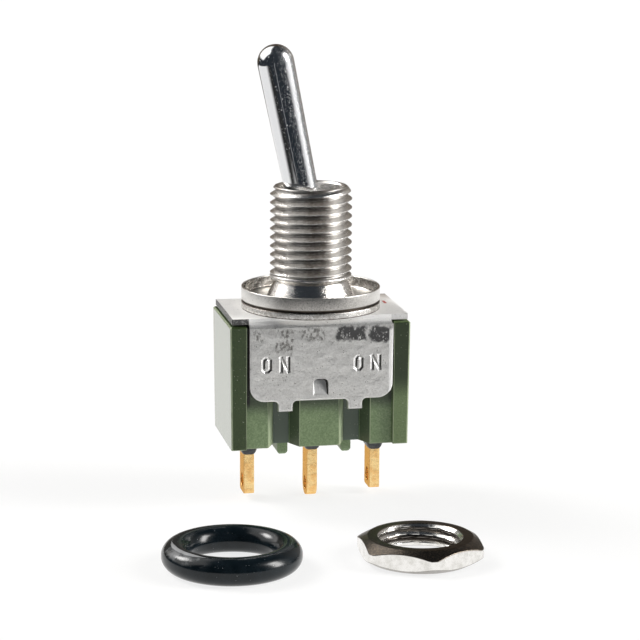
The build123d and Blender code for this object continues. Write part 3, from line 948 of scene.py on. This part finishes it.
def stroke(bm, start, end, reach=0.145, width=0.29, slope=0.135):
    """One straight stroke, narrower at its bottom, that reaches past its two points."""
    start, end = Vector(start), Vector(end)
    ahead = (end - start).normalized() * reach
    side = Vector((-ahead.y, ahead.x)).normalized() * width / 2

    def corners(k):
        return [start + (-ahead - side) * k, end + (ahead - side) * k,
                end + (ahead + side) * k, start + (-ahead + side) * k]

    groove(bm, corners(1.0), corners(1 - 2 * slope / width))


def letter_o(bm, x0, x1, z_mid, height, corner=0.15):
    """An eight-sided ring of short strokes."""
    wide, high = (x1 - x0) / 2 - STROKE_INSET, height / 2 - STROKE_INSET
    x_mid = (x0 + x1) / 2
    loop = [(wide, corner - high), (wide, high - corner), (wide - corner, high), (corner - wide, high),
            (-wide, high - corner), (-wide, corner - high), (corner - wide, -high), (wide - corner, -high)]
    points = [Vector((x_mid + x, z_mid + z)) for x, z in loop]
    for start, end in zip(points, points[1:] + points[:1]):
        stroke(bm, start, end, reach=0.07)


def letter_n(bm, x0, x1, z_mid, height):
    """Two uprights and the diagonal between them."""
    left, right = x0 + STROKE_INSET, x1 - STROKE_INSET
    low, high = z_mid - height / 2 + STROKE_INSET, z_mid + height / 2 - STROKE_INSET
    stroke(bm, (left, low), (left, high))
    stroke(bm, (right, low), (right, high))
    stroke(bm, (left, high), (right, low))


LETTERS = (
    (letter_o, -4.28, -3.61, -3.36, 1.14),
    (letter_n, -2.99, -2.28, -3.37, 1.16),
    (letter_o, 2.45, 3.07, -3.44, 1.12),
    (letter_n, 3.68, 4.39, -3.44, 1.1),
)
cutters = bmesh.new()
for letter, *box in LETTERS:
    letter(cutters, *box)
print("cutters for the words:", len(cutters.faces), "faces")

# %% [markdown]
# ## The clinch mark
# A punch pushed the flap inwards here, to hold it on the case. The mark has a round top,
# where it is deepest, and its floor runs out towards its lower edge. It is one more closed
# cutter with a slanting floor, so that the same Boolean takes it out with the words.

# %% The clinch mark
def clinch(bm, low=-5.75, high=-4.52, half=0.56, deep=0.34):
    """A recess with a round top, deepest there, whose floor runs out at its lower edge."""
    arch = [(half, low), (half, high - 0.3), (half * 0.86, high - 0.1), (half * 0.5, high),
            (-half * 0.5, high), (-half * 0.86, high - 0.1), (-half, high - 0.3), (-half, low)]
    centre = (low + high) / 2
    rings = []
    for inset, y_top, y_low in ((1.0, -0.05, -0.05), (1.0, 0.0, 0.0), (0.78, deep, 0.02)):
        ring = []
        for x, z in arch:
            share = (z - low) / (high - low)
            y = -FLAP_Y + y_low + (y_top - y_low) * min(1.0, share * 1.2)
            ring.append(bm.verts.new((x * inset * MM, y * MM, (centre + (z - centre) * inset) * MM)))
        rings.append(ring)
    close_cutter(bm, rings)


clinch(cutters)
print("cutters with the clinch mark:", len(cutters.faces), "faces")

# %% [markdown]
# ## The steel frame
# One sheet, folded over the case, holds the switch together. Its CAD shape has a plain
# clinch mark, which is filled before the shaped one is cut. The flap's outline is rounded
# before the cuts, so that the grooves keep crisp edges, and its right side is moved out a
# little, to where the photograph shows it against the post.

# %% The stamped sheet
PLAIN_MARK_DEPTH = 0.2
FLAP_WIDER = 0.15
BEND_Z = -0.6

sheet = copied("steel_frame")
plain_floor_y = (PLAIN_MARK_DEPTH - FLAP_Y) * MM
filled = [v for v in sheet.verts if abs(v.co.y - plain_floor_y) < 1e-6 and abs(v.co.x) < 0.6 * MM]
for v in filled:
    v.co.y = -FLAP_Y * MM
cleaned(sheet)
for v in sheet.verts:
    if v.co.x > 4 * MM and v.co.y < -3 * MM and v.co.z < BEND_Z * MM:
        v.co.x += FLAP_WIDER * MM
print("the plain clinch mark's", len(filled), "corners are filled, and a shaped one is cut")
soft_sheet = smoothed(sheet, 0.15, segments=4, chosen=lambda p: p.y < 0.002 - FLAP_Y and p.z < -0.7)
stamped_sheet = cut_by(soft_sheet, cutters)

# %% [markdown]
# ## Light in the grooves
# The walls of a letter are so narrow that their reflections hardly tell them apart, while
# the photograph shows one side dark and the other bright. So each wall stores how much it
# faces away from the light and how much towards it, in an attribute that the finish reads.

# %% Shade and light for the walls of the grooves
WORDS_LOW_Z = -4.3
WALL_CONTRAST = 1.8

# The attribute holds painted shade and painted light, which the steel finish mixes into each wall's
# colour.
wall = stamped_sheet.attributes.new("wall", "FLOAT_VECTOR", "FACE")
shades = [0, 0]
for face in stamped_sheet.polygons:
    middle, facing = face.center / MM, face.normal
    sunk = 0.001 < middle.y + FLAP_Y < 0.351
    if sunk and abs(middle.x) < 4.6 and -5.8 < middle.z < -2.6:
        slope = facing.x - facing.z * 0.3
        if middle.z < WORDS_LOW_Z:
            slope = facing.x - max(0.0, -facing.z) + max(0.0, facing.z) * 0.85
        shade, light = (max(0.0, way * slope) * WALL_CONTRAST for way in (-1, 1))
        wall.data[face.index].vector = (shade, light, 0.0)
        shades[slope > 0] += 1
print("walls in shade and in light:", shades)
settle("steel_sheet_frame", stamped_sheet, STEEL, "housing", ["steel_frame"], sharp=None)

# %% [markdown]
# ## The moulded case
# Dark green thermoset, dull on its walls, with pale lines along the edges of the posts, partly wear
# and partly painted highlight. The walls lean in by the mould's draft, and the masks lean with them,
# so that a line keeps to its edge all the way down. The left post is painted darker as painted shade
# and the right one lighter as painted light, with painted shade on their upper fronts. Painted shade
# also darkens the lower channel floors, one wall of each channel, the gap beside the flap and the pads
# just under it, while the other channel wall takes a painted highlight. The end face is painted paler
# and greyer, a painted sheen, and has more coat, which lights it up.

# %% Finish and mesh: the case
CASE_TOP_Z, DRAFT = -0.54, 0.6
CHANNEL_X, CHANNEL_FLOOR_Y = 2.6, -2.2


def moulding_finish():
    f = Finish(
        "Dark green moulding", (0.035, 0.06, 0.02), Roughness=0.42, Coat_Roughness=0.12, Coat_IOR=2.6,
    )
    across = f.x.size()
    inset = (CASE_TOP_Z - f.z) * tan(radians(DRAFT))
    outward, forward = across + inset, f.y * -1 + inset
    cloud = f.noise(0.8, detail=3)
    grain = f.noise(9, detail=4, rough=0.7)
    fine = grain.above(0.3, 0.75)
    front = forward.above(3.88, 3.92)
    post = across.above(5.3, 5.36)
    # The two post tones are painted light and shade: dark for the left post, light for the right.
    dark = f.mix(fine, (0.016, 0.034, 0.006), (0.04, 0.068, 0.016))
    light = f.mix(fine, (0.1, 0.15, 0.06), (0.17, 0.24, 0.1))
    # Painted shade on the upper fronts of the posts.
    high = f.z.above(-6.4, -4.3) * front
    posts_lit_and_shaded = f.mix(f.x.above(-6, 6) * (1 - high * 0.85), dark, light)
    posts_lit_and_shaded = f.mix(high * f.x.above(0, 6) * 0.8, posts_lit_and_shaded, (0.01, 0.022, 0.004))
    pad = f.mix(fine, (0.13, 0.2, 0.085), (0.26, 0.35, 0.185))
    colour = f.mix(post, pad, posts_lit_and_shaded)
    from_floor = (f.y - CHANNEL_FLOOR_Y).size()
    from_middle = across - CHANNEL_X
    off_middle = from_middle.size()
    # Painted shade on the lower channel floors.
    channel = from_floor.below(0.06, 0.16) * off_middle.below(0.58, 0.66)
    channels_lit_and_shaded = f.mix(channel * f.z.below(-5.4, -5.2), colour, (0.11, 0.145, 0.112))
    # One wall of each channel takes painted shade and the other a painted highlight.
    leaning = from_floor.band(0.1, 0.2, 1.2, 1.3) * f.y.below(-2, -1.9)
    side_of = from_middle * f.x.maths("SIGN") * leaning * off_middle.below(1.14, 1.16)
    channels_lit_and_shaded = f.mix(side_of.above(0.5, 0.56) * 0.8, channels_lit_and_shaded, (0.03, 0.045, 0.025))
    channels_lit_and_shaded = f.mix((side_of * -1).above(0.5, 0.56) * 0.6, channels_lit_and_shaded, (0.5, 0.58, 0.4))
    # Painted shade in the gap beside the flap, and a painted shadow on the pads under its lower edge.
    gap_shade = across.band(5.04, 5.14, 5.372, 5.39) * f.z.above(-6.7, -6.1)
    shadow_under_flap = f.z.above(-7.3, -6.15) * forward.band(3.3, 3.42, 3.6, 3.7)
    shaded = f.mix(shadow_under_flap * (1 - post) * 0.8, channels_lit_and_shaded, (0.02, 0.03, 0.018))
    shaded = f.mix(gap_shade * (1 - f.x.above(-1, 1) * 0.6), shaded, (0.003, 0.003, 0.003))
    dusty = f.mix(f.speckles(4, 0.16) * cloud.above(0.4, 0.6) * 0.6, shaded, (0.4, 0.43, 0.32))
    # Pale lines along the edges: partly wear, partly painted highlight.
    edge = (outward + forward).above(10.4, 10.42) * forward.above(3.8, 3.83)
    edge = edge + across.band(5.3, 5.34, 5.4, 5.43) * front
    edge = edge + f.z.band(-9.65, -9.62, -9.56, -9.53) * forward.above(3.45, 3.5)
    edge = edge + outward.above(6.45, 6.48) * f.z.above(-0.66, -0.64)
    edge = edge + off_middle.band(1.1, 1.13, 1.18, 1.2) * f.y.below(-3.48, -3.46)
    edge = edge.least(1.0) * (cloud.above(0.3, 0.5) * 0.4 + 0.5) * (1 - gap_shade)
    rubbed_and_lit = f.mix(edge, dusty, (0.3, 0.36, 0.22))
    # Painted sheen: the end face is painted paler and greyer, besides its stronger coat.
    end_face = (f.x * -1 + inset).above(6.54, 6.56)
    worn = f.mix(end_face * (grain * 0.3 + 0.2), rubbed_and_lit, (0.3, 0.36, 0.25))
    coat = end_face * 0.95 + (1 - gap_shade) * 0.015
    rough = grain * 0.25 + 0.3
    return f.use(Base_Color=worn, Roughness=rough, Coat_Weight=coat, Normal=f.bump(grain, 0.012))


MOULDING = moulding_finish()
case_mesh = smoothed(copied("case"), 0.05, angle=30)
settle("moulded_case", case_mesh, MOULDING, "housing", ["case"], sharp=None)

# %% [markdown]
# ## The terminals
# Gold flashed over the lugs, browner where it is thin, and painted darker on their left sides as
# painted shade. Their edges were sheared and plated. The CAD lugs are copied with soft edges, and one
# finish serves all three: the distance to the nearest lug's middle, found with a fraction of the
# pitch, tells which side is which.

# %% Finish and mesh: the terminals
def gold_finish():
    f = Finish(
        "Gold flash on the terminals", (0.8, 0.47, 0.16), Metallic=1.0, Roughness=0.3,
        Specular_Tint=(1.0, 0.74, 0.4, 1.0),
    )
    cloud = f.noise(1.9, detail=4)
    grain = f.noise(9, detail=3, rough=0.7)
    colour = f.mix(cloud.above(0.35, 0.7), (0.98, 0.72, 0.34), (0.86, 0.52, 0.2))
    browner = f.mix(grain.above(0.5, 0.75) * 0.4, colour, (0.5, 0.26, 0.07))
    from_lug = ((f.x / TERMINAL_PITCH + 0.5).maths("FRACT") - 0.5) * TERMINAL_PITCH
    # Painted shade on the left side of each lug.
    side = from_lug.below(-0.36, -0.33) * (grain.above(0.3, 0.55) * 0.4 + 0.5)
    browned_and_shaded = f.mix(side, browner, (0.5, 0.27, 0.09))
    rough = grain * 0.24 + 0.16
    dents = f.bump(cloud, 0.04, under=f.bump(grain, 0.01))
    return f.use(Base_Color=browned_and_shaded, Roughness=rough, Normal=dents)


GOLD = gold_finish()
for node in ("terminal_left", "terminal_centre", "terminal_right"):
    settle(f"{node}_lug", smoothed(copied(node), 0.06), GOLD, "housing", [node], sharp=None)

# %% [markdown]
# ## Potting round the terminals
# Black epoxy fills each well and creeps down the lug, so it ends in a small concave cone.
# It is lofted in rings from the well's rectangle to a thin skin on the lug, which gives a
# hollow curve. A bevel on a block would bulge the other way.

# %% Finish and mesh: the potting
def potting_finish():
    f = Finish("Slate black potting", (0.02, 0.023, 0.028), Roughness=0.3)
    cloud = f.noise(3.5, detail=3)
    colour = f.mix(cloud.above(0.35, 0.7), (0.014, 0.016, 0.02), (0.045, 0.05, 0.055))
    return f.use(Base_Color=colour, Roughness=cloud * 0.3 + 0.2, Normal=f.bump(f.noise(7), 0.03))


def rounded_box(wide, deep, corner, around=48):
    """Points on a rectangle with round corners, evenly by angle."""
    points = []
    soft = corner / min(wide, deep)
    for k in range(around):
        a = 2 * pi * (k + 0.5) / around
        push = (abs(cos(a)) ** 6 + abs(sin(a)) ** 6) ** (-1 / 6) * (1 - soft) + soft
        points.append((cos(a) * push * wide / 2, sin(a) * push * deep / 2))
    return points


def potting(centre_x, drop, well=0.38, foot=0.3, film=0.03, steps=10):
    """A closed sleeve: well, concave cone, and the skin against the lug."""
    levels = [(well, 0.6), (well, 0.0), (foot, 0.0)]
    for k in range(1, steps + 1):
        t = k / steps
        levels.append((film + (foot - film) * (1 - t**2.8) ** 0.8, -drop * t))
    levels += [(0.02, -drop), (0.02, 0.6)]
    bm = bmesh.new()
    rings = []
    for skin, height in levels:
        loop = rounded_box(LUG_THICK + 2 * skin, LUG_WIDTH + 2 * skin, skin * 0.5)
        z = (CASE_BOTTOM_Z + height) * MM
        rings.append([bm.verts.new(((x + centre_x) * MM, y * MM, z)) for x, y in loop])
    join_rings(bm, rings + rings[:1])
    return bm


POTTING = potting_finish()
for side, where, drop in ((-1, "left", 1.12), (0, "centre", 0.95), (1, "right", 1.12)):
    sleeve = potting(side * TERMINAL_PITCH, drop)
    piece(f"potting_{where}", sleeve, POTTING, "housing", [f"epoxy_{where}"], sharp=50)

# %% [markdown]
# ## Nickel on the nut
# The nut's flats are bright nickel, while its faces and their turned chamfers are browned, partly
# tarnish and partly painted shade. A chamfer is part of a cone, so the brown is a mask of height plus
# slope, which ends in the same curved edges as the metal. Painted shade darkens the roots of its
# thread.

# %% Finish: the nut
def nut_finish():
    f = Finish("Nickel on the nut", (0.8, 0.78, 0.74), Metallic=1.0, Roughness=0.22)
    cloud = f.noise(1.5, detail=4, rough=0.6)
    grain = f.noise(9, detail=4, rough=0.7)
    specks = f.speckles(4, 0.16)
    plain = f.mix(cloud.above(0.35, 0.7), (0.9, 0.89, 0.87), (0.72, 0.71, 0.68))
    colour = f.mix(specks * cloud.above(0.45, 0.65) * 0.35, plain, (0.3, 0.24, 0.18))
    x, y, z = (v - at for v, at in zip((f.x, f.y, f.z), NUT_PLACE))
    radius = length(x, y)
    cone = (radius - NUT_FACE_R).most(0.0) * NUT_SLOPE
    # The upper face and both chamfers are browned: partly tarnish, partly painted shade.
    upper = (z + cone).above(0.72, 0.78) * radius.above(2.6, 2.7)
    browned_and_shaded = (upper + (cone - z).above(0.74, 0.79) * 0.8).least(1.0)
    brown = f.mix(grain.above(0.45, 0.62), (0.022, 0.013, 0.006), (0.13, 0.095, 0.06))
    aged_and_shaded = f.mix(browned_and_shaded * 0.93, colour, brown)
    # Painted shade in the roots of the nut's thread.
    root_shade = radius.band(2.7, 2.85, 3.0, 3.05) * z.size().below(0.4, 0.5)
    aged_and_shaded = f.mix(root_shade * 0.8, aged_and_shaded, (0.06, 0.04, 0.025))
    rough = grain * 0.1 + browned_and_shaded * 0.12 + 0.14
    return f.use(Base_Color=aged_and_shaded, Roughness=rough, Normal=f.bump(cloud, 0.03))


NUT_NICKEL = nut_finish()

# %% [markdown]
# ## The hex nut
# It lies beside the switch. Its outline is a hexagon cut back by a cone, which leaves the
# curved edges that a turned chamfer has, and the same group as before cuts its thread. A
# bevelled six-sided cylinder has straight edges there, so the section is worked out anew
# for every angle and the sections are joined like the spokes of a wheel.

# %% The nut, spoke by spoke
def nut_outline(angle, flats=7.94, corners=8.88, half=NUT_HALF, lead=0.3):
    """The nut's closed section at one angle round it."""
    within = angle % (pi / 3) - pi / 6
    reach = min(flats / 2 / cos(within), corners / 2)
    low = half - (reach - NUT_FACE_R) * NUT_SLOPE
    wall = stations((NUT_BORE_R, -half + lead), (NUT_BORE_R, half - lead), 28)
    top = stations((NUT_BORE_R, half - lead), (NUT_BORE_R + lead, half), 8)
    top += [Vector((NUT_BORE_R + lead, half)), Vector((NUT_BORE_R + lead + 0.06, half))]
    cone = [Vector((NUT_FACE_R - 0.05, half)), Vector((NUT_FACE_R, half - 0.01))]
    cone += stations((NUT_FACE_R + 0.03, half - 0.03 * NUT_SLOPE - 0.01), (reach - 0.02, low), 4)
    cone += [Vector((reach - 0.015, low)), Vector((reach, low - 0.03))]
    upper = top + cone
    lower = [Vector((p.x, -p.y)) for p in reversed(upper)]
    return wall + upper + lower


def make_nut(segments=144):
    bm = bmesh.new()
    spokes = [2 * pi * k / segments for k in range(segments)]
    columns = [[bm.verts.new(swung(p.x, p.y, a)) for p in nut_outline(a)] for a in spokes]
    join_rings(bm, columns + columns[:1])
    bmesh.ops.remove_doubles(bm, verts=bm.verts, dist=1e-8)
    return opened(with_group(
        as_mesh(bm, "bare nut"), thread_group("Cut the nut's thread", NUT_NICKEL),
        wall_radius=NUT_BORE_R * MM, depth=-0.34 * MM, pitch=THREAD_PITCH * MM,
        start=-3 * MM, end=3 * MM, run_out=0.1 * MM, crest_height=0.0,
    ))


place = Matrix.Translation(Vector(NUT_PLACE) * MM) @ Matrix.Rotation(radians(NUT_TURN), 4, "Z")
piece("panel_nut", make_nut(), NUT_NICKEL, "housing", ["hex_nut"], sharp=22, place=place)

# %% [markdown]
# ## The sealing ring
# Moulded rubber, round in section, with the faint line where the mould parted. The line is painted
# pale, broadest at the front left, and that pale band is partly a painted highlight. A torus from the
# menu would have no such line, so the section is drawn and swung round like the others. Dust and a
# greasy smear are what make black rubber readable as rubber.

# %% Finish and mesh: the sealing ring
def rubber_finish():
    f = Finish("Black rubber", (0.012, 0.012, 0.013), Roughness=0.2, Specular_IOR_Level=0.36)
    cloud = f.noise(1.4, detail=4)
    grain = f.noise(9, detail=3)
    dust = f.speckles(4, 0.12) * f.noise(1.1).above(0.45, 0.6)
    x, y, z = (v - at for v, at in zip((f.x, f.y, f.z), RING_PLACE))
    radius = length(x, y)
    # The mould line is painted pale, and where it widens at the front left it is a painted highlight.
    round_it = y.maths("ARCTAN2", x * -1)
    width = (round_it + 0.4).size().below(0.25, 0.62) * 0.17 + 0.004
    mould_line_and_highlight = (radius - 4.02).size().below(width * 0.6, width) * z.above(0.6, 0.7)
    smear = (radius - 4.35).size().below(0.1, 0.5) * (round_it + 0.5).size().below(0.2, 0.6)
    smear = smear * cloud.above(0.45, 0.6) * z.above(0.3, 0.5) * 0.35
    body = f.mix(cloud.above(0.3, 0.7), (0.003, 0.0065, 0.009), (0.007, 0.012, 0.016))
    marked = f.mix((dust * 0.6 + mould_line_and_highlight * 0.8 + smear).least(1.0), body, (0.42, 0.43, 0.44))
    return f.use(Base_Color=marked, Roughness=cloud * 0.1 + 0.1, Normal=f.bump(grain, 0.003))


def ring_outline(around=40):
    """A round section with a low ridge where the mould parted."""
    ridges = {0: -0.012, around // 2: 0.03}
    points = []
    for k in range(around):
        a = 2 * pi * k / around
        radius = RING_HALF + ridges.get(k, 0.0)
        points.append(Vector((RING_R + radius * cos(a), radius * sin(a))))
    return points


RUBBER = rubber_finish()
place = Matrix.Translation(Vector(RING_PLACE) * MM)
piece("rubber_ring", turned(ring_outline(), 128), RUBBER, "housing", ["sealing_ring"], place=place)

# %% [markdown]
# ## The spring in the lever's tail
# A coil spring pushes the plunger down. A coil has one rule, so Geometry Nodes draw it: a
# spiral with a round wire along it. Its height and turns are inputs, and it was fitted to
# the room between the tail's end wall and the plunger with them.

# %% Geometry Nodes: the lever's spring
def spring_group(finish):
    tree, given = node_group("Wind a spring", "turns", "coil_radius", "height", "wire_radius")
    coil = tree.add("CurveSpiral", values={
        "Resolution": 28, "Rotations": given["Turns"], "Start Radius": given["Coil radius"],
        "End Radius": given["Coil radius"], "Height": given["Height"],
    })
    wire = tree.add("CurvePrimitiveCircle", values={"Resolution": 12, "Radius": given["Wire radius"]})
    tube = tree.add("CurveToMesh", values={"Curve": coil, "Profile Curve": wire, "Fill Caps": True})
    return end_group(tree, tube, finish)


def metal_finish(name, light, dark, rough):
    f = Finish(name, light, Metallic=1.0, Roughness=rough)
    cloud = f.noise(2.5, detail=3)
    colour = f.mix(cloud.above(0.35, 0.7), light, dark)
    grain = f.noise(14) * 0.2 + rough - 0.06
    return f.use(Base_Color=colour, Roughness=grain, Normal=f.bump(cloud, 0.01))


SPRING = metal_finish("Spring wire", (0.62, 0.62, 0.6), (0.45, 0.44, 0.42), 0.28)
coil = opened(with_group(
    bpy.data.meshes.new("nothing"), spring_group(SPRING),
    turns=6.0, coil_radius=0.77 * MM, height=2.29 * MM, wire_radius=0.13 * MM,
))
place = with_lever @ Matrix.Translation((0, 0, -4.34 * MM))
piece("wound_spring", coil, SPRING, "toggle", ["lever_spring"], sharp=50, place=place)

# %% [markdown]
# ## Finishes on the CAD pieces inside
# Seal, retainer, plunger, rocker and contacts are hidden in the case. Their CAD shapes are
# as good as a closer model would be, so they only get the materials that such a switch has
# there: rubber, brass, nylon, a copper alloy and silver.

# %% Finishes on the CAD pieces inside
def nylon_finish():
    f = Finish("Natural nylon", (0.72, 0.7, 0.62), Roughness=0.45)
    cloud = f.noise(1.8, detail=2)
    colour = f.mix(cloud.above(0.3, 0.7), (0.75, 0.73, 0.66), (0.66, 0.63, 0.54))
    return f.use(Base_Color=colour, Roughness=f.noise(12) * 0.2 + 0.34, Normal=f.bump(cloud, 0.02))


BRASS = metal_finish("Brass", (0.8, 0.6, 0.3), (0.66, 0.46, 0.2), 0.3)
CONTACT = metal_finish("Contact alloy", (0.78, 0.55, 0.4), (0.62, 0.42, 0.3), 0.32)
SILVER = metal_finish("Silver", (0.86, 0.85, 0.82), (0.7, 0.68, 0.62), 0.26)
inside = {
    "ball_seal": RUBBER, "seal_retainer": BRASS, "plunger": nylon_finish(), "rocker": CONTACT,
    "rocker_contact_left": SILVER, "rocker_contact_right": SILVER,
    "fixed_contact_left": SILVER, "fixed_contact_right": SILVER,
}
for node, finish in inside.items():
    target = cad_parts[node]
    for holder in target.material_slots:
        holder.material = finish
    print(node, [holder.material.name for holder in target.material_slots])
